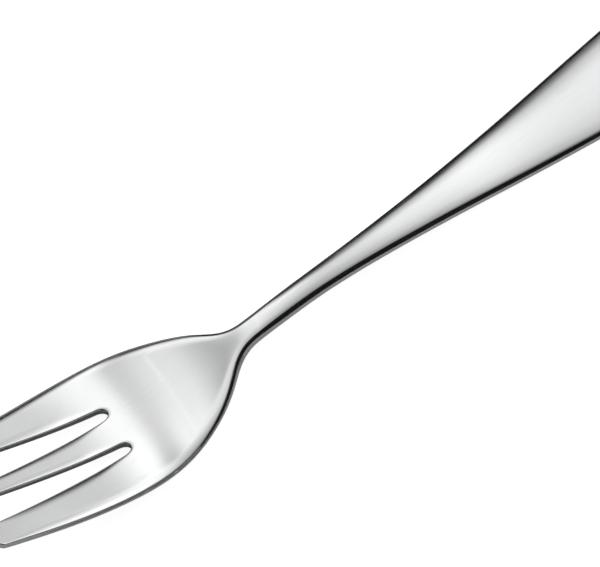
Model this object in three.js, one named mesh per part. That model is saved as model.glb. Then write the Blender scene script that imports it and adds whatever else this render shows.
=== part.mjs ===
// A cake fork stamped from one piece of stainless steel, in millimetres, with +Z up.
// It lies as on a table, hollow side up, on its belly and on the flat underside of its handle.
// X runs from the tine tips (-X) to the end of the handle (+X). The cutting tine is on the -Y side.
// The one blank is held as sections that meet face to face: the handle, the neck, the head and the tines.
import * as THREE from "three";

// Lengths along the fork, one after the other from the tine tips.
const TINE_LENGTH = 27.2;
const ROOT_TO_BELLY = 8.3;
const BELLY_TO_NECK = 17.5;
const NECK_LENGTH = 13;
const HANDLE_LENGTH = 89;

// Lengths within those stretches.
const WIDEST_TO_ROOT = 3.2;
const HANDLE_END_ROUND = 13;
const HANDLE_FLAT_LENGTH = 23;
const TIP_ROUND = 2.2;
const CUTTING_SLANT = 3;

// Widths across the fork.
const HEAD_WIDTH = 24.2;
const NECK_WIDTH = 4.06;
const NECK_END_WIDTH = 4.34;
const HANDLE_WIDTH = 18.4;
const MIDDLE_TINE_TIP_WIDTH = 1.4;
const MIDDLE_TINE_ROOT_WIDTH = 4.7;
const OUTER_TINE_TIP_WIDTH = 3.2;
const SLOT_TIP_WIDTH = 5.85;
const SLOT_ROOT_WIDTH = 2.5;

// Heights of the underside above the table, and the thickness of the steel.
const TIP_RISE = 13.6;
const NECK_RISE = 2.82;
const TIP_THICKNESS = 1.05;
const ROOT_THICKNESS = 1.45;
const BELLY_THICKNESS = 1.6;
const NECK_THICKNESS = 2.4;
const HANDLE_THICKNESS = 2.5;

// Hollow of the head, crown of the handle, and the polished rounding of the edges.
const HEAD_DISH = 0.85;
const NECK_CROWN = 0.25;
const NECK_END_CROWN = 0.47;
const HANDLE_CROWN = 0.9;
const HEAD_EDGE_ROUND = 0.4;
const NECK_EDGE_ROUND = 1.1;
const HANDLE_EDGE_ROUND = 0.7;

// Shapes of the curves, as [share of the way along, share of the rise or narrowing].
const TINE_OUTLINE = [[0.5, 0.59]];
const SHOULDER_OUTLINE = [[0.31, 0.069], [0.517, 0.279], [0.72, 0.64], [0.81, 0.852], [0.89, 0.969]];
const HANDLE_OUTLINE = [[0.184, 0.134], [0.447, 0.451], [0.737, 0.83]];
const TINE_SWEEP = [[0.34, 0.468], [0.68, 0.842]];
const NECK_SWEEP = [[0.2, 0.086], [0.37, 0.362], [0.5, 0.637], [0.6, 0.835], [0.69, 0.944]];
const HANDLE_SWEEP = [
  [0.1, 0.03], [0.25, 0.258], [0.4, 0.535], [0.54, 0.775], [0.71, 0.94], [0.8, 0.978], [0.9, 0.997],
];
const TINE_DISH = [[0.5, 0.25], [0.75, 0.75], [1, 1]];
const SHOULDER_DISH = [[0.6, 0.7]];
const HANDLE_CROWNING = [[0.3, 0.02], [0.5, 0.79]];
const ARCH_SHARE = 0.77;
const TIP_BLUNTNESS = 0.3;
const END_BLUNTNESS = 0.15;
const ROUND_LIMIT = 0.42;

// Fineness of the faceted surface.
const FACE_STEPS = 6;
const EDGE_STEPS = 3;
const ARC_STEPS = 5;
const STATION_STEP = 2.2;

const rootAt = TINE_LENGTH;
const widestAt = rootAt - WIDEST_TO_ROOT;
const bellyAt = rootAt + ROOT_TO_BELLY;
const neckAt = bellyAt + BELLY_TO_NECK;
const handleAt = neckAt + NECK_LENGTH;
const forkLength = handleAt + HANDLE_LENGTH;
const endAt = forkLength - HANDLE_END_ROUND;
const flatAt = forkLength - HANDLE_FLAT_LENGTH;

const { lerp, clamp, smoothstep } = THREE.MathUtils;

// Points of a curve between two ends, spaced by its shares.
function between(from, to, shares) {
  return shares.map(([along, rise]) => [lerp(from[0], to[0], along), lerp(from[1], to[1], rise)]);
}

// A smooth curve of even bend through [place, value] points. Its end is level or, like its start, free.
function smoothCurve(points, levelEnd = false) {
  const last = points.length - 1;
  const gap = (i) => points[i + 1][0] - points[i][0];
  const slope = (i) => (points[i + 1][1] - points[i][1]) / gap(i);
  const weight = [0];
  const pull = [0];
  for (let i = 1; i < last; i++) {
    const pivot = 2 * (gap(i - 1) + gap(i)) - gap(i - 1) * weight[i - 1];
    weight[i] = gap(i) / pivot;
    pull[i] = (6 * (slope(i) - slope(i - 1)) - gap(i - 1) * pull[i - 1]) / pivot;
  }
  const bend = new Array(last + 1).fill(0);
  if (levelEnd) {
    bend[last] = (-6 * slope(last - 1) / gap(last - 1) - pull[last - 1]) / (2 - weight[last - 1]);
  }
  for (let i = last - 1; i > 0; i--) bend[i] = pull[i] - weight[i] * bend[i + 1];
  return (place) => {
    const at = clamp(place, points[0][0], points[last][0]);
    const found = points.findIndex((point, i) => i > 0 && at <= point[0]);
    const i = Math.max(found, 1) - 1;
    const ahead = (points[i + 1][0] - at) / gap(i);
    const behind = 1 - ahead;
    const sag = (ahead ** 3 - ahead) * bend[i] + (behind ** 3 - behind) * bend[i + 1];
    return ahead * points[i][1] + behind * points[i + 1][1] + sag * gap(i) ** 2 / 6;
  };
}

// The outline: half the fork's width at each place, up to the round end of the handle.
const tipHalf = MIDDLE_TINE_TIP_WIDTH / 2 + SLOT_TIP_WIDTH + OUTER_TINE_TIP_WIDTH;
const tipCorner = [0, tipHalf];
const widest = [widestAt, HEAD_WIDTH / 2];
const neckStart = [neckAt, NECK_WIDTH / 2];
const neckEnd = [handleAt, NECK_END_WIDTH / 2];
const broadEnd = [endAt, HANDLE_WIDTH / 2];
const flank = smoothCurve([
  tipCorner,
  ...between(tipCorner, widest, TINE_OUTLINE),
  widest,
  ...between(widest, neckStart, SHOULDER_OUTLINE),
  neckStart,
  neckEnd,
  ...between(neckEnd, broadEnd, HANDLE_OUTLINE),
  broadEnd,
], true);

function halfWidth(place) {
  const past = clamp((place - endAt) / HANDLE_END_ROUND, 0, 1);
  return flank(place) * lerp(END_BLUNTNESS, 1, Math.sqrt(1 - past ** 2));
}

// The side view: the underside rises from the belly to the tips, and arches over the neck to the flat.
const tipHigh = [0, TIP_RISE];
const bellyLow = [bellyAt, 0];
const archHigh = [lerp(neckAt, handleAt, ARCH_SHARE), NECK_RISE];
const flatLow = [flatAt, 0];
const sweep = smoothCurve([
  tipHigh,
  ...between(tipHigh, bellyLow, TINE_SWEEP),
  bellyLow,
  ...between(bellyLow, archHigh, NECK_SWEEP),
  archHigh,
  ...between(archHigh, flatLow, HANDLE_SWEEP),
  flatLow,
], true);

const thickness = smoothCurve([
  [0, TIP_THICKNESS],
  [rootAt, ROOT_THICKNESS],
  [bellyAt, BELLY_THICKNESS],
  [neckAt, NECK_THICKNESS],
  [handleAt, NECK_THICKNESS],
  [endAt, HANDLE_THICKNESS],
]);

const dish = smoothCurve([
  [0, 0],
  ...between([0, 0], [rootAt, HEAD_DISH], TINE_DISH),
  [bellyAt, HEAD_DISH],
  ...between([bellyAt, HEAD_DISH], [neckAt, 0], SHOULDER_DISH),
  [neckAt, 0],
], true);

const crown = smoothCurve([
  [bellyAt, 0],
  [neckAt, NECK_CROWN],
  [handleAt, NECK_END_CROWN],
  ...between([handleAt, NECK_END_CROWN], [endAt, HANDLE_CROWN], HANDLE_CROWNING),
  [endAt, HANDLE_CROWN],
]);

function edgeRound(place) {
  const toNeck = smoothstep(place, bellyAt, neckAt);
  const toHandle = smoothstep(place, handleAt, endAt);
  return lerp(lerp(HEAD_EDGE_ROUND, NECK_EDGE_ROUND, toNeck), HANDLE_EDGE_ROUND, toHandle);
}

// How far a rounded edge falls below its face, at a distance in from the edge.
function edgeFall(distance, radius) {
  const inside = clamp(radius - distance, 0, radius);
  return radius - Math.sqrt(radius ** 2 - inside ** 2);
}

// One section of the steel, square to X: along the underside to the high edge, and back over the top.
function section(place, [low, high]) {
  const half = halfWidth(place);
  const edgeThickness = thickness(place) - crown(place);
  const radius = Math.min(edgeRound(place), ROUND_LIMIT * (high - low), ROUND_LIMIT * edgeThickness);
  const endFall = edgeFall(Math.min(place, forkLength - place), radius);
  const inset = Array.from({ length: EDGE_STEPS + 1 }, (_, i) => {
    return radius * (1 - Math.cos((i / EDGE_STEPS) * (Math.PI / 2)));
  });
  const faceLow = low + radius;
  const faceHigh = high - radius;
  const face = Array.from({ length: FACE_STEPS - 1 }, (_, i) => {
    return lerp(faceLow, faceHigh, (i + 1) / FACE_STEPS);
  });
  const across = [...inset.map((d) => low + d), ...face, ...inset.map((d) => high - d).reverse()];
  const lower = [];
  const upper = [];
  for (const y of across) {
    const rim = (y / half) ** 2;
    const fall = Math.max(edgeFall(Math.min(y - low, high - y), radius), endFall);
    const bottom = sweep(place) + dish(place) * rim;
    const top = bottom + thickness(place) - crown(place) * rim;
    lower.push(new THREE.Vector3(place - forkLength / 2, y, bottom + fall));
    upper.push(new THREE.Vector3(place - forkLength / 2, y, top - fall));
  }
  return [...lower, ...upper.reverse()];
}

// A closed solid through the sections at the given places, with a flat face at each end.
function sectionsGeometry(places, edges) {
  const rings = places.map((place) => section(place, edges(place)));
  const size = rings[0].length;
  const positions = rings.flat().flatMap((point) => point.toArray());
  const faces = [];
  for (let ring = 0; ring < rings.length - 1; ring++) {
    for (let i = 0; i < size; i++) {
      const here = ring * size + i;
      const beside = ring * size + ((i + 1) % size);
      faces.push(here, beside, beside + size, here, beside + size, here + size);
    }
  }
  const lastRing = (rings.length - 1) * size;
  for (let i = 0; i < size / 2 - 1; i++) {
    const [a, b, c, d] = [i, i + 1, size - 2 - i, size - 1 - i];
    faces.push(a, c, b, a, d, c);
    faces.push(lastRing + a, lastRing + b, lastRing + c, lastRing + a, lastRing + c, lastRing + d);
  }
  const geometry = new THREE.BufferGeometry();
  geometry.setAttribute("position", new THREE.Float32BufferAttribute(positions, 3));
  geometry.setIndex(faces);
  geometry.computeVertexNormals();
  return geometry;
}

// Places from one to another, evenly spaced and no further apart than the station step.
function evenPlaces(from, to) {
  const steps = Math.ceil((to - from) / STATION_STEP);
  return Array.from({ length: steps + 1 }, (_, i) => lerp(from, to, i / steps));
}

// Places round a quarter arc, close together where the arc runs across the fork.
function arcPlaces(from, to) {
  return Array.from({ length: ARC_STEPS + 1 }, (_, i) => {
    return lerp(from, to, Math.sin((i / ARC_STEPS) * (Math.PI / 2)));
  });
}

// The slots between the tines narrow towards their round roots.
const slotRadius = SLOT_ROOT_WIDTH / 2;
const slotArcAt = rootAt - slotRadius;

function slotEdges(place) {
  const along = Math.min(place / slotArcAt, 1);
  const tineHalf = lerp(MIDDLE_TINE_TIP_WIDTH, MIDDLE_TINE_ROOT_WIDTH, along) / 2;
  const slotHalf = lerp(SLOT_TIP_WIDTH, SLOT_ROOT_WIDTH, along) / 2;
  const past = clamp(place - slotArcAt, 0, slotRadius);
  const opening = past > 0 ? Math.sqrt(slotRadius ** 2 - past ** 2) : slotHalf;
  return { inner: tineHalf + slotHalf - opening, outer: tineHalf + slotHalf + opening };
}

// The share of a tine's width that is left at a place in its rounded tip.
function tipShare(place) {
  const along = Math.min(place / TIP_ROUND, 1);
  return lerp(TIP_BLUNTNESS, 1, Math.sqrt(along * (2 - along)));
}

function middleTineEdges(place) {
  const half = slotEdges(place).inner * tipShare(place);
  return [-half, half];
}

function outerTineEdges(place) {
  const inside = slotEdges(place).outer;
  const outside = halfWidth(place);
  const half = ((outside - inside) / 2) * tipShare(place);
  const middle = (inside + outside) / 2;
  return [middle - half, middle + half];
}

// The cutting tine ends in a slant, from its outer edge to a point beside the slot.
function cuttingTineEdges(place) {
  const inside = slotEdges(place).outer;
  const width = halfWidth(place) - inside;
  const left = lerp(TIP_BLUNTNESS, 1, Math.min(place / CUTTING_SLANT, 1));
  return [-inside - width * left, -inside];
}

function wholeWidth(place) {
  return [-halfWidth(place), halfWidth(place)];
}

function tinePlaces(tipLength) {
  const tip = arcPlaces(tipLength, 0).reverse();
  const root = arcPlaces(slotArcAt, rootAt);
  return [...tip, ...evenPlaces(tipLength, slotArcAt).slice(1, -1), ...root];
}

const steelLook = { color: 0xc9cbcc, metalness: 1, roughness: 0.2 };

function steelSection(name, places, edges) {
  const mesh = new THREE.Mesh(sectionsGeometry(places, edges), new THREE.MeshStandardMaterial(steelLook));
  mesh.name = name;
  return mesh;
}

const handlePlaces = [...evenPlaces(handleAt, endAt), ...arcPlaces(endAt, forkLength).slice(1)];

const fork = new THREE.Group();
fork.name = "cake_fork";
fork.add(
  steelSection("cutting_tine", tinePlaces(CUTTING_SLANT), cuttingTineEdges),
  steelSection("middle_tine", tinePlaces(TIP_ROUND), middleTineEdges),
  steelSection("outer_tine", tinePlaces(TIP_ROUND), outerTineEdges),
  steelSection("head", evenPlaces(rootAt, neckAt), wholeWidth),
  steelSection("neck", evenPlaces(neckAt, handleAt), wholeWidth),
  steelSection("handle", handlePlaces, wholeWidth),
);

export default fork;
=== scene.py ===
# %% [markdown]
# # A cake fork in polished steel
# A cake fork is one strip of stainless steel: a blank is stamped out flat, rolled thinner
# at the tines, pressed to its curve and polished. This lesson makes it in the same order,
# as one unbroken skin, because a polished surface shows every seam.
# The CAD model comes in first. The sizes below follow it, and its parts are hidden once the fork is made.

# %% Load the CAD frame
import math
import bpy
import numpy as np
from mathutils import Matrix, Vector
from mathutils.geometry import delaunay_2d_cdt


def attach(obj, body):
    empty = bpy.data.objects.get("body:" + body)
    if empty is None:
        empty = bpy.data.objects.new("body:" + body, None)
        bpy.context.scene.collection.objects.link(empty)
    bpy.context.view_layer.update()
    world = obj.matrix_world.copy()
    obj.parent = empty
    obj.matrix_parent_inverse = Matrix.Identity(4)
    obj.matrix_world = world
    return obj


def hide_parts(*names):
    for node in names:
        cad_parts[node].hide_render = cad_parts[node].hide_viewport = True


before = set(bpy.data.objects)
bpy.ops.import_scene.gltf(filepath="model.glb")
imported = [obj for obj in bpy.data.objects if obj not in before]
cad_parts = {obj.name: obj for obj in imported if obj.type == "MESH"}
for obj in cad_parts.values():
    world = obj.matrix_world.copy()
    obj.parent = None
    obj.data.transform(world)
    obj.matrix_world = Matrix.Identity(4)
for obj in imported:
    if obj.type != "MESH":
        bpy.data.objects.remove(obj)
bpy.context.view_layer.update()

print("CAD nodes:", sorted(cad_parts))

# %% [markdown]
# ## The sizes
# The sizes are in millimetres. They follow the CAD model within about half a millimetre, and a few
# were set finer, by where the light falls on the steel. A place is a distance along the fork from
# the tips of the tines, so the steel runs from place 0 to the end of the handle.
# Keeping every size under one name means that the outline, the bend and the finish agree.

# %% Sizes of the fork
TINE_LENGTH, ROOT_TO_BELLY, BELLY_TO_NECK, NECK_LENGTH, HANDLE_LENGTH = 27.2, 8.3, 17.5, 13, 89
WIDEST_TO_ROOT, SLOT_END_ROUND, HANDLE_END_ROUND, HANDLE_FLAT_LENGTH = 3.2, 1.7, 13, 23
TIP_ROUND, TIP_BLUNTNESS, CUTTING_SLANT = 2.2, 0.3, 3
HEAD_WIDTH, NECK_WIDTH, NECK_END_WIDTH, HANDLE_WIDTH = 24.06, 4.06, 4.3, 18.4
MIDDLE_TINE_TIP, MIDDLE_TINE_ROOT, OUTER_TINE_TIP = 1.85, 4.95, 3.1
SLOT_TIP, SLOT_ROOT, CUTTING_TINE_EXTRA = 5.9, 2.1, 0.55
TIP_RISE, NECK_RISE = 13.6, 2.84
HEAD_DISH, CROWN = 0.85, 0.9

root_at = TINE_LENGTH
widest_at = root_at - WIDEST_TO_ROOT
belly_at = root_at + ROOT_TO_BELLY
neck_at = belly_at + BELLY_TO_NECK
handle_at = neck_at + NECK_LENGTH
fork_length = handle_at + HANDLE_LENGTH
end_at = fork_length - HANDLE_END_ROUND
flat_at = fork_length - HANDLE_FLAT_LENGTH
slant_end, tine_slim, tine_mid, tine_broad = CUTTING_SLANT, 8, 12, 20
shoulder, shoulder_turn, shoulder_foot = belly_at + 5.5, belly_at + 9.5, belly_at + 10.5
shoulder_end, throat = belly_at + 11.5, belly_at + 14.5
neck_slim, neck_mid = neck_at + 4, neck_at + 7
handle_low, handle_mid, handle_broad = handle_at + 6, handle_at + 14, handle_at + 26
print("fork length in mm:", fork_length)

# %% [markdown]
# ## Curves with an even bend
# Polished steel mirrors the room, so a kink in a curve shows as a kink in the reflection.
# A spline that also keeps its bend even from one stretch to the next avoids that. Blender's own
# curves don't give a height at a place along the fork, so a few lines of numpy do it here.

# %% Even curves
def between(start, stop, shares):
    return [
        (start[0] + (stop[0] - start[0]) * along, start[1] + (stop[1] - start[1]) * rise)
        for along, rise in shares
    ]


def even_curve(points, level_end=False):
    """A function of place, through the points, whose bend changes evenly."""
    place, value = np.array(points, float).T
    gap = np.diff(place)
    slope = np.diff(value) / gap
    count = len(place)
    pull = np.eye(count)
    push = np.zeros(count)
    for i in range(1, count - 1):
        pull[i, i - 1 : i + 2] = gap[i - 1], 2 * (gap[i - 1] + gap[i]), gap[i]
        push[i] = 6 * (slope[i] - slope[i - 1])
    if level_end:
        pull[-1, -2:] = 1, 2
        push[-1] = -6 * slope[-1] / gap[-1]
    bend = np.linalg.solve(pull, push)

    def at(where):
        where = np.clip(where, place[0], place[-1])
        i = np.clip(np.searchsorted(place, where) - 1, 0, count - 2)
        ahead = (place[i + 1] - where) / gap[i]
        behind = 1 - ahead
        sag = (ahead**3 - ahead) * bend[i] + (behind**3 - behind) * bend[i + 1]
        return ahead * value[i] + behind * value[i + 1] + sag * gap[i] ** 2 / 6

    return at


# %% [markdown]
# ## The outline of the blank
# Seen from above, the steel is one closed line: round the end of the handle, in at the neck,
# out over the shoulders of the head, and in and out of the two slots. The tine on the near
# side ends in a slant, because it is the one that cuts the cake.
# The line is walked once in fine steps, and softened a little, as tumbling softens a stamped edge.

# %% Outline
TIP_STEPS, SLOT_END_STEPS, SLOT_STEPS, SIDE_STEPS, END_STEPS = 90, 60, 160, 900, 160

tip_corner = (0, MIDDLE_TINE_TIP / 2 + SLOT_TIP + OUTER_TINE_TIP)
widest = (widest_at, HEAD_WIDTH / 2)
neck_start, neck_end = (neck_at, NECK_WIDTH / 2), (handle_at, NECK_END_WIDTH / 2)
broad_end = (end_at, HANDLE_WIDTH / 2)
shoulder_shares = [(0.31, 0.069), (0.517, 0.279), (0.72, 0.64), (0.81, 0.852), (0.89, 0.969)]
handle_shares = [(0.184, 0.129), (0.447, 0.447), (0.737, 0.828)]
flank = even_curve(
    [tip_corner, *between(tip_corner, widest, [(0.5, 0.59)]), widest]
    + [*between(widest, neck_start, shoulder_shares), neck_start]
    + [neck_end, *between(neck_end, broad_end, handle_shares), broad_end],
    level_end=True,
)
slot_arc_at = root_at - SLOT_END_ROUND


def middle_side(place):
    along = np.clip(place / slot_arc_at, 0, 1)
    return (MIDDLE_TINE_TIP + (MIDDLE_TINE_ROOT - MIDDLE_TINE_TIP) * along) / 2


def outer_side(place):
    along = np.clip(place / slot_arc_at, 0, 1)
    return middle_side(place) + SLOT_TIP + (SLOT_ROOT - SLOT_TIP) * along


def cutting_side(place):
    return outer_side(place) - CUTTING_TINE_EXTRA * (1 - np.clip(place / slot_arc_at, 0, 1))


def round_tip(low, high):
    """Points round a tine's tip, from its +Y side to its -Y side."""
    turn = np.linspace(math.pi / 2, -math.pi / 2, TIP_STEPS)
    place = TIP_ROUND * (1 - np.cos(turn))
    left = np.sign(np.sin(turn)) * (TIP_BLUNTNESS + (1 - TIP_BLUNTNESS) * np.abs(np.sin(turn)))
    middle, half = (low(place) + high(place)) / 2, (high(place) - low(place)) / 2
    return np.column_stack([place, middle + half * left])


def slot_root(low, high):
    """The round end of a slot, from its high side to its low side."""
    turn = np.linspace(math.pi / 2, -math.pi / 2, SLOT_END_STEPS)
    place = slot_arc_at + SLOT_END_ROUND * np.cos(turn)
    return np.column_stack([place, (low + high) / 2 + (high - low) / 2 * np.sin(turn)])


def line_of(places, across):
    return np.column_stack([places, across(places)])


end_turn = np.linspace(0, math.pi / 2, END_STEPS)
end_places = end_at + HANDLE_END_ROUND * np.cos(end_turn)
end_arc = np.column_stack([end_places, HANDLE_WIDTH / 2 * np.sin(end_turn)])
flank_places = np.linspace(end_at, TIP_ROUND, SIDE_STEPS)
slot_places = np.linspace(TIP_ROUND, slot_arc_at, SLOT_STEPS)
middle_root = middle_side(slot_arc_at)
point_width = (flank(0.0) - cutting_side(0.0)) * TIP_BLUNTNESS
cutting_tip = np.array([[0, -cutting_side(0.0)], [0, -cutting_side(0.0) - point_width]])
near_places = np.linspace(CUTTING_SLANT, end_at, SIDE_STEPS)
walk = np.vstack([
    end_arc,
    line_of(flank_places, flank),
    round_tip(outer_side, flank),
    line_of(slot_places, outer_side),
    slot_root(middle_root, outer_side(slot_arc_at)),
    line_of(slot_places[::-1], middle_side),
    round_tip(lambda p: -middle_side(p), middle_side),
    line_of(slot_places, lambda p: -middle_side(p)),
    slot_root(-cutting_side(slot_arc_at), -middle_root),
    line_of(slot_places[::-1], lambda p: -cutting_side(p)),
    cutting_tip,
    line_of(near_places, lambda p: -flank(p)),
    end_arc[::-1] * (1, -1),
])


def along_loop(points):
    step = np.linalg.norm(np.roll(points, -1, 0) - points, axis=1)
    return np.concatenate([[0], np.cumsum(step)])


def respaced(points, places):
    """Points of a closed line at the given distances along it."""
    along = along_loop(points)
    closed = np.vstack([points, points[:1]])
    return np.column_stack([np.interp(places, along, closed[:, i]) for i in (0, 1)])


FINE_STEP, SOFTENING = 0.04, 0.22
perimeter = along_loop(walk)[-1]
fine = respaced(walk, np.arange(0, perimeter, FINE_STEP))
reach = int(3 * SOFTENING / FINE_STEP)
bell = np.exp(-0.5 * (np.arange(-reach, reach + 1) * FINE_STEP / SOFTENING) ** 2)
bell /= bell.sum()
wrapped = np.vstack([fine[-reach:], fine, fine[:reach]])
fine = np.column_stack([np.convolve(wrapped[:, i], bell, "valid") for i in (0, 1)])
print("outline in mm:", round(perimeter, 1), "in", len(fine), "fine steps")

# %% [markdown]
# ## The rows of the edge
# A stamped and polished edge is not a sharp corner. The top eases down towards it over a millimetre
# or two and rolls off like a quarter of an ellipse. Then comes the wall of the steel, and below it
# a small rounding. The wheel does not press evenly, so the far and the near side of the fork roll
# off by different widths. Rows of points that run in from the outline, closer where the outline
# turns, follow that cleanly, which a Bevel modifier on a thin, bent sheet would not.

# %% Rim rows
TURN_PER_POINT, WIDEST_GAP, CLOSEST_GAP = 0.11, 0.4, 0.09
ROOM_IN_A_TURN, MOST_ROOM, TINE_ROOM = 0.6, 3, 0.7
CROWDING_REACH, ROOM_REACH = 20, 24
MIDDLE_SLACK, ROOT_SLACK, SLOT_SLACK = 0.1, 0.5, 0.3
SLOT_SHARE, SLOT_FADE_AT, SLOT_FADE_LENGTH = 0.55, root_at + 2, 8
TOP_ROWS, WALL_ROWS, UNDER_ROWS = 15, 3, 7

heading = np.roll(fine, -1, 0) - np.roll(fine, 1, 0)
heading /= np.linalg.norm(heading, axis=1)[:, None]
turning = np.gradient(np.unwrap(np.arctan2(heading[:, 1], heading[:, 0]))) / FINE_STEP


def evened(values, reach):
    """Values round the loop, each the mean of those within reach steps."""
    wrapped = np.concatenate([values[-reach:], values, values[:reach]])
    return np.convolve(wrapped, np.ones(2 * reach + 1) / (2 * reach + 1), "valid")


crowding = np.clip(np.abs(turning) / TURN_PER_POINT, 1 / WIDEST_GAP, 1 / CLOSEST_GAP)
crowding = evened(crowding, CROWDING_REACH)
room = np.clip(ROOM_IN_A_TURN / np.maximum(turning, 1e-6), 0, MOST_ROOM)
room = np.min([np.roll(room, i) for i in range(-ROOM_REACH, ROOM_REACH + 1)], axis=0)
room = evened(room, ROOM_REACH)
counted = np.concatenate([[0], np.cumsum(crowding * FINE_STEP)])
rim_count = int(counted[-1])
fine_index = np.arange(len(counted))
rim_index = np.interp(np.arange(rim_count) * counted[-1] / rim_count, counted, fine_index)


def at_rim(values):
    closed = np.vstack([values, values[:1]])
    return np.column_stack([np.interp(rim_index, fine_index, closed[:, i]) for i in (0, 1)])


rim = at_rim(fine)
rim_place, rim_side = rim.T
rim_room = at_rim(np.column_stack([room, room]))[:, 0]
inward = at_rim(heading)[:, ::-1] * (-1, 1)
inward /= np.linalg.norm(inward, axis=1)[:, None]

side_ease = even_curve([
    (0, 0.2), (slant_end, 0.35), (tine_slim, 1.3), (tine_mid, 1.55), (tine_broad, 1.65),
    (root_at, 1.7), (belly_at, 1.8), (shoulder, 2), (shoulder_foot, 1.5), (throat, 1.25),
    (neck_at, 1.2), (neck_slim, 0.95), (neck_mid, 0.76), (handle_at, 0.76),
    (handle_low, 0.9), (handle_mid, 1.25), (handle_broad, 1.9), (end_at, 2.1),
])
slot_ease = even_curve([
    (0, 0.2), (slant_end, 0.35), (tine_slim, 1.4), (tine_mid, 1.6), (tine_broad, 1.5),
    (slot_arc_at, 0.8), (root_at, 0.6),
])
far_roll = even_curve([
    (0, 0.2), (slant_end, 0.26), (tine_slim, 0.3), (tine_broad, 0.3), (root_at, 0.32),
    (belly_at, 0.4), (shoulder, 0.42), (shoulder_foot, 0.45), (throat, 0.7),
    (neck_at, 1), (neck_slim, 0.7), (neck_mid, 0.56), (handle_at, 0.52),
    (handle_low, 0.5), (handle_mid, 0.52), (handle_broad, 0.62), (end_at, 0.68),
])
near_roll = even_curve([
    (0, 0.2), (slant_end, 0.28), (tine_slim, 0.34), (tine_broad, 0.34), (root_at, 0.34),
    (belly_at, 0.34), (shoulder, 0.36), (shoulder_foot, 0.36), (throat, 0.36),
    (neck_at, 0.38), (neck_mid, 0.44), (handle_at, 0.46),
    (handle_low, 0.48), (handle_mid, 0.54), (handle_broad, 0.7), (end_at, 0.78),
])
slot_roll = even_curve([
    (0, 0.2), (slant_end, 0.22), (tine_slim, 0.22), (tine_broad, 0.22), (slot_arc_at, 0.22),
    (root_at, 0.22),
])
under_roll = even_curve([
    (0, 0.3), (root_at, 0.4), (belly_at, 0.5), (shoulder, 0.7), (shoulder_end, 0.85),
    (neck_at, 0.75), (handle_at, 0.7), (end_at, 0.5),
])

on_middle = np.abs(rim_side) < middle_side(rim_place) + MIDDLE_SLACK
side_tine_half = (flank(rim_place) - outer_side(rim_place)) / 2
tine_half = np.where(on_middle, middle_side(rim_place), side_tine_half)
tip_left = TIP_BLUNTNESS + (1 - TIP_BLUNTNESS) * np.clip(rim_place / CUTTING_SLANT, 0, 1)
tine_room = np.minimum(rim_room, TINE_ROOM * tine_half * tip_left)
rim_room = np.where(rim_place < slot_arc_at, tine_room, rim_room)

between_tines = np.abs(rim_side) < outer_side(rim_place) + SLOT_SLACK
in_slot = (rim_place < root_at + ROOT_SLACK) & between_tines
slot_eased = SLOT_SHARE * np.clip((SLOT_FADE_AT - rim_place) / SLOT_FADE_LENGTH, 0, 1)
eased = np.where(in_slot, slot_eased, 1.0)
ease_width = np.where(in_slot, slot_ease(rim_place), side_ease(rim_place))
ease_width = np.minimum(ease_width, rim_room)
side_roll = np.where(rim_side > 0, far_roll(rim_place), near_roll(rim_place))
roll_width = np.minimum(np.where(in_slot, slot_roll(rim_place), side_roll), ease_width)
under_width = np.minimum(under_roll(rim_place), rim_room)
rows = []


def add_row(inset, lift, roll, ease):
    rows.append((rim + inward * inset[:, None], lift, roll, ease))


flush = np.zeros(rim_count)
for turn in np.linspace(math.pi / 2, 0, UNDER_ROWS):
    share_in = 1 - math.cos(turn)
    add_row(under_width * share_in, 0.0, flush + share_in, flush)
for i in range(1, WALL_ROWS + 1):
    add_row(flush, i / (WALL_ROWS + 1), flush, flush)
for turn in np.linspace(0, math.pi / 2, TOP_ROWS):
    inset = ease_width * (1 - math.cos(turn))
    add_row(inset, 1.0, np.minimum(inset / roll_width, 1), eased * math.cos(turn) ** 2)
print("rim:", rim_count, "points in each of", len(rows), "rows")

# %% [markdown]
# ## The two faces of the blank
# Inside the innermost rows, the top and the underside are broad and gently curved. A constrained
# Delaunay fill joins the row to an even grid of points, so the triangles are nearly all alike
# and the polish is not disturbed. A plain n-gon would be filled with long slivers instead.

# %% Faces and the flat blank
GRID_STEP, GRID_CLEAR, GRID_PARTS = 0.5, 0.6, 60


def grid_inside(loop, clear):
    low, high = loop.min(0), loop.max(0)
    lines = np.arange(low[1], high[1], GRID_STEP * math.sqrt(3) / 2)
    spots = []
    for i, y in enumerate(lines):
        xs = np.arange(low[0] + (i % 2) * GRID_STEP / 2, high[0], GRID_STEP)
        spots.append(np.column_stack([xs, np.full(len(xs), y)]))
    spots = np.vstack(spots)
    following = np.roll(loop, -1, 0)
    kept = []
    for part in np.array_split(spots, GRID_PARTS):
        over = (loop[:, 1] > part[:, 1:2]) != (following[:, 1] > part[:, 1:2])
        rise = np.where(over, following[:, 1] - loop[:, 1], 1)
        cross = loop[:, 0] + (part[:, 1:2] - loop[:, 1]) * (following[:, 0] - loop[:, 0]) / rise
        inside = (over & (cross > part[:, :1])).sum(1) % 2 == 1
        near = np.min((part[:, :1] - loop[:, 0]) ** 2 + (part[:, 1:2] - loop[:, 1]) ** 2, axis=1)
        kept.append(part[inside & (near > clear**2)])
    return np.vstack(kept)


def filled(loop):
    """The grid points inside a loop, and triangles over the loop's points and then the grid's."""
    grid = grid_inside(loop, GRID_CLEAR * GRID_STEP)
    flat = [Vector(p) for p in np.vstack([loop, grid])]
    edges = [(i, (i + 1) % len(loop)) for i in range(len(loop))]
    _, _, faces, origins, _, _ = delaunay_2d_cdt(flat, edges, [], 1, 1e-7)
    source = [origin[0] for origin in origins]
    return grid, [[source[i] for i in face] for face in faces]


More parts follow.
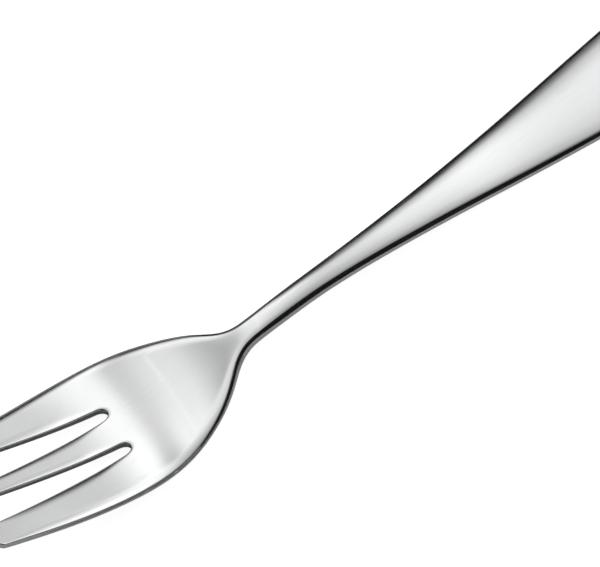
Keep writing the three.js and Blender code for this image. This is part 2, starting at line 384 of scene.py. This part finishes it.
under_grid, under_faces = filled(rows[0][0])
top_grid, top_faces = filled(rows[-1][0])
plan = np.vstack([row[0] for row in rows] + [under_grid, top_grid])
face_points = len(under_grid) + len(top_grid)
row_lift = [np.full(rim_count, row[1]) for row in rows]
lift = np.concatenate(row_lift + [np.zeros(len(under_grid)), np.ones(len(top_grid))])
roll = np.concatenate([row[2] for row in rows] + [np.ones(face_points)])
ease = np.concatenate([row[3] for row in rows] + [np.zeros(face_points)])

row_start = np.arange(len(rows)) * rim_count
faces = []
for lower, upper in zip(row_start[:-1], row_start[1:]):
    for i in range(rim_count):
        j = (i + 1) % rim_count
        faces.append((lower + i, lower + j, upper + j, upper + i))
first_grid = len(rows) * rim_count
for face in under_faces:
    faces.append([i if i < rim_count else first_grid + i - rim_count for i in reversed(face)])
last_row, second_grid = row_start[-1], first_grid + len(under_grid)
for face in top_faces:
    faces.append([last_row + i if i < rim_count else second_grid + i - rim_count for i in face])

MM = 0.001
blank_mesh = bpy.data.meshes.new("flat_blank")
flat_x = (plan[:, 0] - fork_length / 2) * MM
flat_points = np.column_stack([flat_x, plan[:, 1] * MM, np.zeros(len(plan))])
blank_mesh.from_pydata(flat_points.tolist(), [], [list(map(int, face)) for face in faces])


def carry(mesh, name, values):
    """Keeps one number for each point of a mesh, under a name."""
    attribute = mesh.attributes.new(name, "FLOAT", "POINT")
    attribute.data.foreach_set("value", values.astype(np.float32))


carry(blank_mesh, "lift", lift)
carry(blank_mesh, "roll", roll)
carry(blank_mesh, "ease", ease)
blank = bpy.data.objects.new("flat_blank", blank_mesh)
bpy.context.scene.collection.objects.link(blank)
print("blank:", len(plan), "points,", len(faces), "faces")

# %% [markdown]
# ## The guide for the press
# The press tool knows, at each place along the fork, how high the underside stands, how thick
# the steel is, how hollow the head is and how far the edges ease and roll off. Here that is a
# straight wire from the tips to the end of the handle that carries those values as attributes.

# %% Guide wire
ARCH_SHARE, WIRE_POINTS = 0.731, 1241
tine_sweep = [(0.34, 0.468), (0.68, 0.842)]
neck_sweep = [
    (0.203, 0.0854), (0.378, 0.36), (0.51, 0.633), (0.611, 0.817),
    (0.704, 0.902), (0.796, 0.944), (0.889, 0.977),
]
handle_sweep = [
    (0.05, 0.014), (0.108, 0.081), (0.194, 0.217), (0.309, 0.42), (0.424, 0.618),
    (0.54, 0.81), (0.626, 0.906), (0.712, 0.961), (0.85, 0.993),
]


def side_view(tip, neck):
    high, low = (0, tip), (belly_at, 0)
    arch, flat = (neck_at + ARCH_SHARE * NECK_LENGTH, neck), (flat_at, 0)
    return even_curve(
        [high, *between(high, low, tine_sweep), low, *between(low, arch, neck_sweep), arch]
        + [*between(arch, flat, handle_sweep), flat],
        level_end=True,
    )


tip_bend, neck_bend = side_view(1, 0), side_view(0, 1)
thickness = even_curve([
    (0, 1.05), (tine_broad, 1.33), (root_at, 1.45), (belly_at, 1.6), (shoulder_turn, 2.08),
    (neck_at, 2.4), (handle_at, 2.42), (end_at, 2.5),
])
tip, root, belly, neck = (0, 0), (root_at, 1), (belly_at, 1), (neck_at, 0)
hollow_at = even_curve(
    [tip, *between(tip, root, [(0.5, 0.25), (0.75, 0.75), (1, 1)]), belly]
    + [*between(belly, neck, [(0.6, 0.7)]), neck],
    level_end=True,
)
low_crown, full_crown = (handle_at, 0.52), (end_at, 0.88)
crown_at = even_curve(
    [(root_at, 0), (shoulder, 0.06), (shoulder_end, 0.08), (throat, 0.16), (neck_at, 0.28)]
    + [(neck_slim, 0.46), low_crown]
    + [*between(low_crown, full_crown, [(0.3, 0.47), (0.5, 0.75)]), full_crown]
)
roll_depth = even_curve([
    (0, 0.1), (slant_end, 0.14), (tine_slim, 0.2), (tine_broad, 0.22), (root_at, 0.24),
    (belly_at, 0.34), (shoulder, 0.44), (shoulder_foot, 0.56), (throat, 0.82),
    (neck_at, 1.15), (neck_mid, 1.27), (handle_at, 1.22),
    (handle_low, 1.08), (handle_mid, 0.9), (handle_broad, 0.7), (end_at, 0.54),
])
ease_depth = even_curve([
    (0, 0), (slant_end, 0.02), (tine_slim, 0.18), (tine_mid, 0.28), (tine_broad, 0.4),
    (root_at, 0.44), (belly_at, 0.5), (shoulder, 0.5), (shoulder_foot, 0.32), (throat, 0.18),
    (neck_at, 0.1), (neck_mid, 0.04), (handle_at, 0.04),
    (handle_mid, 0.07), (handle_broad, 0.08), (end_at, 0.09),
])
under_depth = even_curve([
    (0, 0.2), (root_at, 0.25), (belly_at, 0.35), (shoulder, 0.5), (shoulder_end, 0.6),
    (neck_at, 0.5), (handle_at, 0.5), (end_at, 0.4),
])

wire_places = np.linspace(0, fork_length, WIRE_POINTS)
guide_values = {
    "half_width": flank(wire_places) * MM,
    "tip_bend": tip_bend(wire_places),
    "neck_bend": neck_bend(wire_places),
    "tip_slope": np.gradient(tip_bend(wire_places), wire_places) / MM,
    "neck_slope": np.gradient(neck_bend(wire_places), wire_places) / MM,
    "thickness": thickness(wire_places) * MM,
    "hollow": hollow_at(wire_places),
    "crowning": crown_at(wire_places),
    "top_roll": roll_depth(wire_places) * MM,
    "top_ease": ease_depth(wire_places) * MM,
    "under_roll": under_depth(wire_places) * MM,
}
wire_mesh = bpy.data.meshes.new("press_guide")
wire_links = [(i, i + 1) for i in range(WIRE_POINTS - 1)]
wire_mesh.from_pydata([(p * MM, 0, 0) for p in wire_places], wire_links, [])
for name, values in guide_values.items():
    carry(wire_mesh, name, values)
wire = bpy.data.objects.new("press_guide", wire_mesh)
bpy.context.scene.collection.objects.link(wire)
print("guide values:", ", ".join(guide_values))

# %% [markdown]
# ## The press, as a node tree
# The rest of the shape follows one rule, so Geometry Nodes do it: for each point of the blank
# they read the guide at that place, set the point's height, and swing it so that the wall stays
# square to the slope. The sizes that a toolmaker would want to change, such as the rise of the
# tips, are inputs of the tree.

# %% Press tree
def join(tree, source, socket):
    if isinstance(source, bpy.types.NodeSocket):
        tree.links.new(source, socket)
    else:
        socket.default_value = source


def figure(tree, operation, *terms):
    node = tree.nodes.new("ShaderNodeMath")
    node.operation = operation
    for term, socket in zip(terms, node.inputs):
        join(tree, term, socket)
    return node.outputs[0]


def point_value(tree, name):
    node = tree.nodes.new("GeometryNodeInputNamedAttribute")
    node.data_type = "FLOAT"
    node.inputs["Name"].default_value = name
    return node.outputs["Attribute"]


press = bpy.data.node_groups.new("press_the_fork", "GeometryNodeTree")
press.is_modifier = True
sockets = press.interface
sockets.new_socket("Geometry", in_out="INPUT", socket_type="NodeSocketGeometry")
press_inputs = {}
for name, kind in (
    ("Guide wire", "NodeSocketObject"), ("Fork length", "NodeSocketFloat"),
    ("Tip rise", "NodeSocketFloat"), ("Neck rise", "NodeSocketFloat"),
    ("Head dish", "NodeSocketFloat"), ("Crown", "NodeSocketFloat"), ("Finish", "NodeSocketMaterial"),
):
    press_inputs[name] = sockets.new_socket(name, in_out="INPUT", socket_type=kind).identifier
sockets.new_socket("Geometry", in_out="OUTPUT", socket_type="NodeSocketGeometry")

given = press.nodes.new("NodeGroupInput").outputs
told = press.nodes.new("GeometryNodeObjectInfo")
press.links.new(given["Guide wire"], told.inputs["Object"])
wire_curve = press.nodes.new("GeometryNodeMeshToCurve")
press.links.new(told.outputs["Geometry"], wire_curve.inputs["Mesh"])
spot = press.nodes.new("ShaderNodeSeparateXYZ")
press.links.new(press.nodes.new("GeometryNodeInputPosition").outputs[0], spot.inputs[0])
share = figure(press, "ADD", figure(press, "DIVIDE", spot.outputs["X"], given["Fork length"]), 0.5)


def guide_value(name):
    node = press.nodes.new("GeometryNodeSampleCurve")
    node.data_type, node.mode = "FLOAT", "FACTOR"
    press.links.new(wire_curve.outputs["Curve"], node.inputs["Curves"])
    press.links.new(point_value(press, name), node.inputs["Value"])
    press.links.new(share, node.inputs["Factor"])
    return node.outputs["Value"]


across = figure(press, "DIVIDE", spot.outputs["Y"], guide_value("half_width"))
across_squared = figure(press, "MULTIPLY", across, across)
to_face = figure(press, "SUBTRACT", 1.0, point_value(press, "roll"))
arc = figure(press, "SQRT", figure(press, "SUBTRACT", 1.0, figure(press, "MULTIPLY", to_face, to_face)))
fall = figure(press, "SUBTRACT", 1.0, arc)

bent = figure(
    press, "ADD",
    figure(press, "MULTIPLY", given["Tip rise"], guide_value("tip_bend")),
    figure(press, "MULTIPLY", given["Neck rise"], guide_value("neck_bend")),
)
hollow = figure(press, "MULTIPLY", given["Head dish"], guide_value("hollow"))
base = figure(press, "MULTIPLY_ADD", hollow, across_squared, bent)
crowned = figure(press, "MULTIPLY", given["Crown"], guide_value("crowning"))
crown_fall = figure(press, "MULTIPLY", crowned, across_squared)
steel = figure(press, "SUBTRACT", guide_value("thickness"), crown_fall)
underside = figure(press, "MULTIPLY_ADD", guide_value("under_roll"), fall, base)
top_face = figure(press, "ADD", base, steel)
rolled = figure(press, "SUBTRACT", top_face, figure(press, "MULTIPLY", guide_value("top_roll"), fall))
eased_fall = figure(press, "MULTIPLY", guide_value("top_ease"), point_value(press, "ease"))
topside = figure(press, "SUBTRACT", rolled, eased_fall)
wall = figure(press, "SUBTRACT", topside, underside)
height = figure(press, "MULTIPLY_ADD", wall, point_value(press, "lift"), underside)

slope = figure(
    press, "ADD",
    figure(press, "MULTIPLY", given["Tip rise"], guide_value("tip_slope")),
    figure(press, "MULTIPLY", given["Neck rise"], guide_value("neck_slope")),
)
swung = figure(press, "MULTIPLY_ADD", slope, figure(press, "SUBTRACT", top_face, height), spot.outputs["X"])

place_of = press.nodes.new("ShaderNodeCombineXYZ")
press.links.new(swung, place_of.inputs["X"])
press.links.new(spot.outputs["Y"], place_of.inputs["Y"])
press.links.new(height, place_of.inputs["Z"])
pressed = press.nodes.new("GeometryNodeSetPosition")
press.links.new(given["Geometry"], pressed.inputs["Geometry"])
press.links.new(place_of.outputs[0], pressed.inputs["Position"])
polished = press.nodes.new("GeometryNodeSetShadeSmooth")
press.links.new(pressed.outputs[0], polished.inputs["Geometry"])
real = press.nodes.new("GeometryNodeRealizeInstances")
press.links.new(polished.outputs[0], real.inputs["Geometry"])
finished = press.nodes.new("GeometryNodeSetMaterial")
press.links.new(real.outputs[0], finished.inputs["Geometry"])
press.links.new(given["Finish"], finished.inputs["Material"])
press.links.new(finished.outputs[0], press.nodes.new("NodeGroupOutput").inputs["Geometry"])
print("press tree:", len(press.nodes), "nodes")

# %% [markdown]
# ## Polished stainless steel
# Steel has no colour of its own to paint: it is a mirror, a little dulled. What tells it from
# chrome is the polishing: hairlines too fine to count that run along the fork, soft clouds where
# the wheel pressed more or less, and a few dull marks from use. They are noise on coordinates that
# are stretched along the fork, and they change the tone, the roughness and a trace of bump. The
# ease attribute, which stays on the mesh, tells where the top edges are burnished smoother.

# %% Steel
HAIRLINES, CLOUDS, WAVES = (30, 3600, 3600), (60, 160, 160), (70, 90, 90)
USE_MARKS, USE_DULLNESS, BURNISH = (300, 900, 900), 0.03, -0.03
DARK_TONE, LIGHT_TONE = (0.775, 0.779, 0.784, 1), (0.802, 0.806, 0.811, 1)
HAIR_DULLNESS, CLOUD_DULLNESS = (-0.012, 0.016), (0.145, 0.175)
HAIR_DEPTH, WAVE_DEPTH = 0.000004, 0.00002

steel_finish = bpy.data.materials.new("polished_steel")
steel_finish.use_nodes = True
steel_tree = steel_finish.node_tree
shader = steel_tree.nodes["Principled BSDF"]
shader.inputs["Metallic"].default_value = 1.0
shader.inputs["IOR"].default_value = 2.5
on_fork = steel_tree.nodes.new("ShaderNodeTexCoord").outputs["Object"]


def polish_marks(name, scale, detail, coarseness=0.5):
    """A cloudy pattern whose grains are finer, along each axis, for a larger scale."""
    mapping = steel_tree.nodes.new("ShaderNodeMapping")
    mapping.label = name
    mapping.inputs["Scale"].default_value = scale
    steel_tree.links.new(on_fork, mapping.inputs["Vector"])
    noise = steel_tree.nodes.new("ShaderNodeTexNoise")
    noise.label = name
    noise.inputs["Scale"].default_value = 1.0
    noise.inputs["Detail"].default_value = detail
    noise.inputs["Roughness"].default_value = coarseness
    steel_tree.links.new(mapping.outputs[0], noise.inputs["Vector"])
    return noise.outputs[0]


def spread(tree, source, low, high, start=0.3, stop=0.7):
    """Goes smoothly from low to high while the source goes from start to stop."""
    node = tree.nodes.new("ShaderNodeMapRange")
    node.interpolation_type = "SMOOTHSTEP"
    names = ("From Min", "From Max", "To Min", "To Max")
    for name, value in zip(names, (start, stop, low, high)):
        node.inputs[name].default_value = value
    tree.links.new(source, node.inputs["Value"])
    return node.outputs["Result"]


def bump(height, strength, depth):
    node = steel_tree.nodes.new("ShaderNodeBump")
    node.inputs["Strength"].default_value = strength
    node.inputs["Distance"].default_value = depth
    steel_tree.links.new(height, node.inputs["Height"])
    return node


hairlines = polish_marks("hairlines", HAIRLINES, 4.0, 0.6)
clouds = polish_marks("clouds", CLOUDS, 3.0)
waviness = polish_marks("waviness", WAVES, 1.0)
use_marks = polish_marks("use marks", USE_MARKS, 2.0)
edge = steel_tree.nodes.new("ShaderNodeAttribute")
edge.attribute_name = "ease"

tone = steel_tree.nodes.new("ShaderNodeMix")
tone.data_type = "RGBA"
tone.inputs["A"].default_value = DARK_TONE
tone.inputs["B"].default_value = LIGHT_TONE
steel_tree.links.new(spread(steel_tree, hairlines, 0.0, 1.0), tone.inputs["Factor"])
steel_tree.links.new(tone.outputs["Result"], shader.inputs["Base Color"])

hair_dull = spread(steel_tree, hairlines, *HAIR_DULLNESS)
dull = figure(steel_tree, "ADD", hair_dull, spread(steel_tree, clouds, *CLOUD_DULLNESS))
used = spread(steel_tree, use_marks, 0.0, USE_DULLNESS, 0.62, 0.72)
dull = figure(steel_tree, "ADD", dull, used)
dull = figure(steel_tree, "MULTIPLY_ADD", edge.outputs["Fac"], BURNISH, dull)
steel_tree.links.new(dull, shader.inputs["Roughness"])

shader.inputs["Anisotropic"].default_value = 0.6
shader.inputs["Anisotropic Rotation"].default_value = 0.25
grain = steel_tree.nodes.new("ShaderNodeCombineXYZ")
grain.inputs["X"].default_value = 1.0
steel_tree.links.new(grain.outputs[0], shader.inputs["Tangent"])

hair_bump = bump(hairlines, 0.15, HAIR_DEPTH)
wave_bump = bump(waviness, 0.5, WAVE_DEPTH)
steel_tree.links.new(hair_bump.outputs[0], wave_bump.inputs["Normal"])
steel_tree.links.new(wave_bump.outputs[0], shader.inputs["Normal"])
print("steel:", len(steel_tree.nodes), "nodes")

# %% [markdown]
# ## Press, and keep the result
# A modifier's inputs are set by their identifiers, then the tree runs once and its result becomes
# a plain mesh. The blank and the guide have done their work and are removed.

# %% The fork
modifier = blank.modifiers.new("press", "NODES")
modifier.node_group = press
for name, value in (
    ("Guide wire", wire), ("Fork length", fork_length * MM), ("Tip rise", TIP_RISE * MM),
    ("Neck rise", NECK_RISE * MM), ("Head dish", HEAD_DISH * MM), ("Crown", CROWN * MM),
    ("Finish", steel_finish),
):
    modifier[press_inputs[name]] = value
evaluated = blank.evaluated_get(bpy.context.evaluated_depsgraph_get())
fork_mesh = bpy.data.meshes.new_from_object(evaluated)
fork_mesh.name = "fork_steel"
fork = bpy.data.objects.new("fork_steel", fork_mesh)
bpy.context.scene.collection.objects.link(fork)
blank.modifiers.clear()
bpy.data.objects.remove(blank)
bpy.data.objects.remove(wire)

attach(fork, "root")
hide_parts("cutting_tine", "middle_tine", "outer_tine", "head", "neck", "handle")
print("fork:", sum(len(p.vertices) - 2 for p in fork_mesh.polygons), "triangles")

# %% [markdown]
# ## The table
# The fork lies on a plain white table. To the camera the table glows up to white, as in a
# catalogue picture, and it still takes the fork's soft shadow. The steel sees only a little of
# that glow, because with a full white table in it the dark lines along its edges would be lost.

# %% Table
TABLE_SIZE, TABLE_TOP = 8, -0.00002
TABLE_GREY, SEEN_GLOW, MIRRORED_GLOW = (0.62, 0.62, 0.62, 1), 0.9, 0.05

bpy.ops.mesh.primitive_plane_add(size=TABLE_SIZE, location=(0, 0, TABLE_TOP))
table = bpy.context.object
table.name = "white_table"
table_white = bpy.data.materials.new("table_white")
table_white.use_nodes = True
table_tree = table_white.node_tree
table_tree.nodes.clear()
matt = table_tree.nodes.new("ShaderNodeBsdfDiffuse")
matt.inputs["Color"].default_value = TABLE_GREY
glow = table_tree.nodes.new("ShaderNodeEmission")
ray = table_tree.nodes.new("ShaderNodeLightPath").outputs
mirrored = figure(table_tree, "ADD", ray["Is Glossy Ray"], ray["Is Transmission Ray"])
mirrored = figure(table_tree, "MULTIPLY", mirrored, MIRRORED_GLOW)
strength = figure(table_tree, "MULTIPLY_ADD", ray["Is Camera Ray"], SEEN_GLOW, mirrored)
table_tree.links.new(strength, glow.inputs["Strength"])
both = table_tree.nodes.new("ShaderNodeAddShader")
table_tree.links.new(matt.outputs[0], both.inputs[0])
table_tree.links.new(glow.outputs[0], both.inputs[1])
table_output = table_tree.nodes.new("ShaderNodeOutputMaterial")
table_tree.links.new(both.outputs[0], table_output.inputs["Surface"])
table.data.materials.append(table_white)
print("table:", table.name)

# %% [markdown]
# ## The light
# Cutlery is lit through a large white scrim overhead, because the steel shows whatever is above
# it. This one hangs 30 cm over the fork and glows as a cloth does that has lamps behind it: a
# broad glow behind the fork, one lamp for the white band across the head, smaller ones for the
# shoulders and the neck, a dim strip far in front for views from behind, and a seam in the cloth
# that draws a thin line on the head. Each patch is a product of smooth steps, so its sides are soft.

# %% Scrim
SCRIM_HEIGHT = 0.3
SCRIM_LEFT, SCRIM_RIGHT, SCRIM_FRONT, SCRIM_BACK = -0.33, 1.25, -1.1, 0.8
CLOTH_GLOW, LEFT_GLOW, BACK_GLOW = 0.83, 0.17, 0.1
HANDLE_SIDE, EDGE_LEAN, EDGE_STEP, EDGE_START, EDGE_WIDTH = 0.03, 0.3, 0.06, 0.19, 0.22

corners = [
    (SCRIM_LEFT, SCRIM_FRONT, SCRIM_HEIGHT), (SCRIM_LEFT, SCRIM_BACK, SCRIM_HEIGHT),
    (SCRIM_RIGHT, SCRIM_BACK, SCRIM_HEIGHT), (SCRIM_RIGHT, SCRIM_FRONT, SCRIM_HEIGHT),
]
scrim_mesh = bpy.data.meshes.new("scrim")
scrim_mesh.from_pydata(corners, [], [(0, 1, 2, 3)])
scrim = bpy.data.objects.new("scrim", scrim_mesh)
bpy.context.scene.collection.objects.link(scrim)
scrim.visible_camera = False

scrim_glow = bpy.data.materials.new("scrim_glow")
scrim_glow.use_nodes = True
scrim_tree = scrim_glow.node_tree
scrim_tree.nodes.clear()
on_scrim = scrim_tree.nodes.new("ShaderNodeSeparateXYZ")
scrim_place = scrim_tree.nodes.new("ShaderNodeTexCoord").outputs["Object"]
scrim_tree.links.new(scrim_place, on_scrim.inputs[0])
along, back = on_scrim.outputs["X"], on_scrim.outputs["Y"]


def fade(tree, source, start, stop):
    return spread(tree, source, 0.0, 1.0, start, stop)


def fade_out(tree, source, start, stop):
    return spread(tree, source, 1.0, 0.0, start, stop)


def times(tree, *terms):
    total = terms[0]
    for term in terms[1:]:
        total = figure(tree, "MULTIPLY", total, term)
    return total


def plus(tree, *terms):
    total = terms[0]
    for term in terms[1:]:
        total = figure(tree, "ADD", total, term)
    return total


def patch(strength, left=None, right=None, front=None, rear=None):
    """A patch of light on the cloth. Each side fades between two places, in metres."""
    sides = []
    for side, place, step in (
        (left, along, fade), (right, along, fade_out), (front, back, fade), (rear, back, fade_out),
    ):
        if side:
            sides.append(step(scrim_tree, place, *side))
    return times(scrim_tree, *sides, strength)


dark_corner = patch(0.2, left=(0.1, 0.16), right=(0.22, 0.3), front=(0.21, 0.26))
dark_front = patch(0.16, left=(0.12, 0.19), rear=(0.13, 0.2))
cloth = times(
    scrim_tree,
    patch(1.0, left=(-0.3, -0.12), right=(0.18, 0.7)),
    plus(scrim_tree, patch(LEFT_GLOW, right=(-0.06, 0.015)), CLOTH_GLOW),
    figure(scrim_tree, "SUBTRACT", 1.0, dark_corner),
    figure(scrim_tree, "SUBTRACT", 1.0, dark_front),
)
head_lamp = patch(0.42, left=(0.029, 0.077), right=(0.095, 0.193))
slant = plus(scrim_tree, along, times(scrim_tree, back, 0.2))
front_patch = patch(1.0, right=(0.38, 0.5), front=(-0.28, -0.16), rear=(-0.06, 0.12))
front_lamp = times(scrim_tree, fade(scrim_tree, slant, 0.047, 0.112), front_patch)
back_lamp = patch(0.35, left=(-0.2, -0.12), right=(-0.11, -0.04), front=(0.23, 0.29), rear=(0.29, 0.4))
neck_lamp = patch(
    0.3, left=(-0.075, -0.045), right=(-0.025, 0.025), front=(0.13, 0.31), rear=(0.32, 0.43))
seam = patch(0.45, left=(-0.081, -0.077), right=(-0.077, -0.073))
front_strip = patch(0.45, rear=(-0.7, -0.5))

# The back edge of the cloth's glow runs at a slant to the left of the handle, and steps at the head.
left_of_handle = figure(scrim_tree, "SUBTRACT", HANDLE_SIDE, along)
left_of_handle = figure(scrim_tree, "MAXIMUM", left_of_handle, 0.0)
lean = times(scrim_tree, left_of_handle, EDGE_LEAN)
shift = plus(scrim_tree, lean, patch(EDGE_STEP, left=(0.05, 0.085)))
over_edge = figure(scrim_tree, "SUBTRACT", back, plus(scrim_tree, shift, EDGE_START))
past_edge = figure(scrim_tree, "DIVIDE", over_edge, plus(scrim_tree, shift, EDGE_WIDTH))
depth = times(
    scrim_tree,
    patch(1.0, front=(-0.2, 0.15)),
    plus(scrim_tree, patch(BACK_GLOW, front=(0.14, 0.25)), 1),
    fade_out(scrim_tree, past_edge, 0, 1),
)
lit_cloth = times(scrim_tree, plus(scrim_tree, cloth, head_lamp, seam), depth)
total = plus(scrim_tree, lit_cloth, front_lamp, back_lamp, neck_lamp, front_strip)
shine = scrim_tree.nodes.new("ShaderNodeEmission")
scrim_tree.links.new(total, shine.inputs["Strength"])
scrim_output = scrim_tree.nodes.new("ShaderNodeOutputMaterial")
scrim_tree.links.new(shine.outputs[0], scrim_output.inputs["Surface"])
scrim_mesh.materials.append(scrim_glow)
print("scrim:", len(scrim_tree.nodes), "nodes, corners in m:", corners)

# %% [markdown]
# ## The cards
# A polished edge with nothing dark beside it is lost against a white table, so dark reflections are
# painted into the steel here. A folded black card lies in front of the shoulder, neck and handle
# with its flap standing along them, and a strip stands behind them, as painted dark reflections
# along the edges. A grey card under the slots is painted shade: it stands for the fork's shadow on
# the table there and darkens the slot walls that mirror it. The cards show in the steel alone: they
# are hidden from the camera, cast no shadow and take no part in the light on the table.

# %% Cards
CARD_AT, CARD_FRONT, CARD_DULLNESS = 0.00005, -0.3, 0.9
near_fold = [
    (-0.0435, -0.0128), (-0.0395, -0.0117), (-0.0355, -0.0098), (-0.0305, -0.007),
    (-0.0195, -0.0062), (0.0025, -0.0078), (0.0265, -0.015), (0.095, -0.021),
]
near_flap = [0.0005, 0.0035, 0.006, 0.0075, 0.0075, 0.0075, 0.0075, 0.0075]
far_fold = [(x, -y) for x, y in near_fold[2:]]
far_flap = [0.0005, 0.004, 0.0055, 0.0055, 0.0055, 0.0055]


def card(name, outlines, shade):
    """Sheets of card, each a list of corners, that only reflections see."""
    points = [corner for outline in outlines for corner in outline]
    numbers = iter(range(len(points)))
    sheets = [[next(numbers) for _ in outline] for outline in outlines]
    mesh = bpy.data.meshes.new(name)
    mesh.from_pydata(points, [], sheets)
    finish = bpy.data.materials.new(name)
    finish.use_nodes = True
    surface = finish.node_tree.nodes["Principled BSDF"]
    surface.inputs["Base Color"].default_value = (shade, shade, shade, 1)
    surface.inputs["Roughness"].default_value = CARD_DULLNESS
    mesh.materials.append(finish)
    piece = bpy.data.objects.new(name, mesh)
    bpy.context.scene.collection.objects.link(piece)
    piece.visible_camera = piece.visible_shadow = piece.visible_diffuse = False
    return piece


def flap(fold, heights):
    """The standing sheets over a fold, one for each stretch of it."""
    low = [(x, y, CARD_AT) for x, y in fold]
    high = [(x, y, z) for (x, y), z in zip(fold, heights)]
    return [[low[i], low[i + 1], high[i + 1], high[i]] for i in range(len(fold) - 1)]


card_left, card_right = near_fold[0][0], near_fold[-1][0]
card_line = near_fold + [(card_right, CARD_FRONT), (card_left, CARD_FRONT)]
lying = [(x, y, CARD_AT) for x, y in reversed(card_line)]
# Painted dark reflection: a black sheet along the edges that only the steel shows.
black_card = card("black_card", [lying] + flap(near_fold, near_flap) + flap(far_fold, far_flap), 0.01)
# Painted shade: a grey sheet for the fork's shadow under the slots, which only the slot walls mirror.
under_slots = [(-0.079, -0.0085), (-0.049, -0.0085), (-0.049, 0.0115), (-0.079, 0.0115)]
grey_card = card("grey_card", [[(x, y, CARD_AT) for x, y in under_slots]], 0.3)
print("cards:", black_card.name, "and", grey_card.name)

# %% [markdown]
# ## The room
# Around the scrim the room is dim, grey to the sides and lighter near the floor, so that the fork
# keeps some light in it from low down too. To the camera the room is white, like the table.

# %% Room
CORNER_LIGHT, BACK_LIGHT, FLOOR_LIGHT, SIDE_LIGHT, DIM_LIGHT = 0.18, 0.03, 0.32, 0.2, 0.005

world = bpy.data.worlds.new("studio")
bpy.context.scene.world = world
world.use_nodes = True
room_tree = world.node_tree
room_tree.nodes.clear()
direction = room_tree.nodes.new("ShaderNodeSeparateXYZ")
room_direction = room_tree.nodes.new("ShaderNodeTexCoord").outputs["Generated"]
room_tree.links.new(room_direction, direction.inputs[0])
sideways = figure(room_tree, "ABSOLUTE", direction.outputs["X"])
behind = fade(room_tree, direction.outputs["Y"], -0.1, 0.3)
corner_wall = times(room_tree, fade(room_tree, sideways, 0.15, 0.6), CORNER_LIGHT)
back_wall = times(room_tree, behind, plus(room_tree, corner_wall, BACK_LIGHT))
near_floor = times(room_tree, fade_out(room_tree, direction.outputs["Z"], 0.2, 0.33), FLOOR_LIGHT)
side_wall = times(room_tree, fade(room_tree, sideways, 0.6, 0.9), SIDE_LIGHT)
walls = plus(room_tree, back_wall, near_floor, side_wall, DIM_LIGHT)
seen = room_tree.nodes.new("ShaderNodeLightPath").outputs["Is Camera Ray"]
background = room_tree.nodes.new("ShaderNodeBackground")
room_tree.links.new(figure(room_tree, "MAXIMUM", walls, seen), background.inputs["Strength"])
room_output = room_tree.nodes.new("ShaderNodeOutputWorld")
room_tree.links.new(background.outputs[0], room_output.inputs["Surface"])
bpy.context.scene.view_settings.view_transform = "Standard"
print("room:", len(room_tree.nodes), "nodes")

# %% [markdown]
# ## The camera
# The picture was taken square to the fork, from the cutting side and high up, with a long lens,
# and then turned so that the fork runs up to the right.

# %% Camera
ELEVATION, TURN = math.radians(62), math.radians(35.785)
FIELD_WIDTH, DISTANCE, SENSOR = 0.0923, 1.5, 36
target = Vector((-0.0147, 0.00135, 0.004))
to_camera = Vector((0, -math.cos(ELEVATION), math.sin(ELEVATION)))
along_fork, up_view = Vector((1, 0, 0)), Vector((0, math.sin(ELEVATION), math.cos(ELEVATION)))
right = math.cos(TURN) * along_fork - math.sin(TURN) * up_view
up = math.sin(TURN) * along_fork + math.cos(TURN) * up_view
lens = bpy.data.cameras.new("camera")
lens.sensor_width = SENSOR
lens.lens = SENSOR * DISTANCE / FIELD_WIDTH
lens.clip_start, lens.clip_end = 0.01, 100
camera = bpy.data.objects.new("camera", lens)
bpy.context.scene.collection.objects.link(camera)
axes = Matrix((right, up, to_camera)).transposed().to_4x4()
camera.matrix_world = Matrix.Translation(target + DISTANCE * to_camera) @ axes
bpy.context.scene.camera = camera
print("lens in mm:", round(lens.lens, 1))
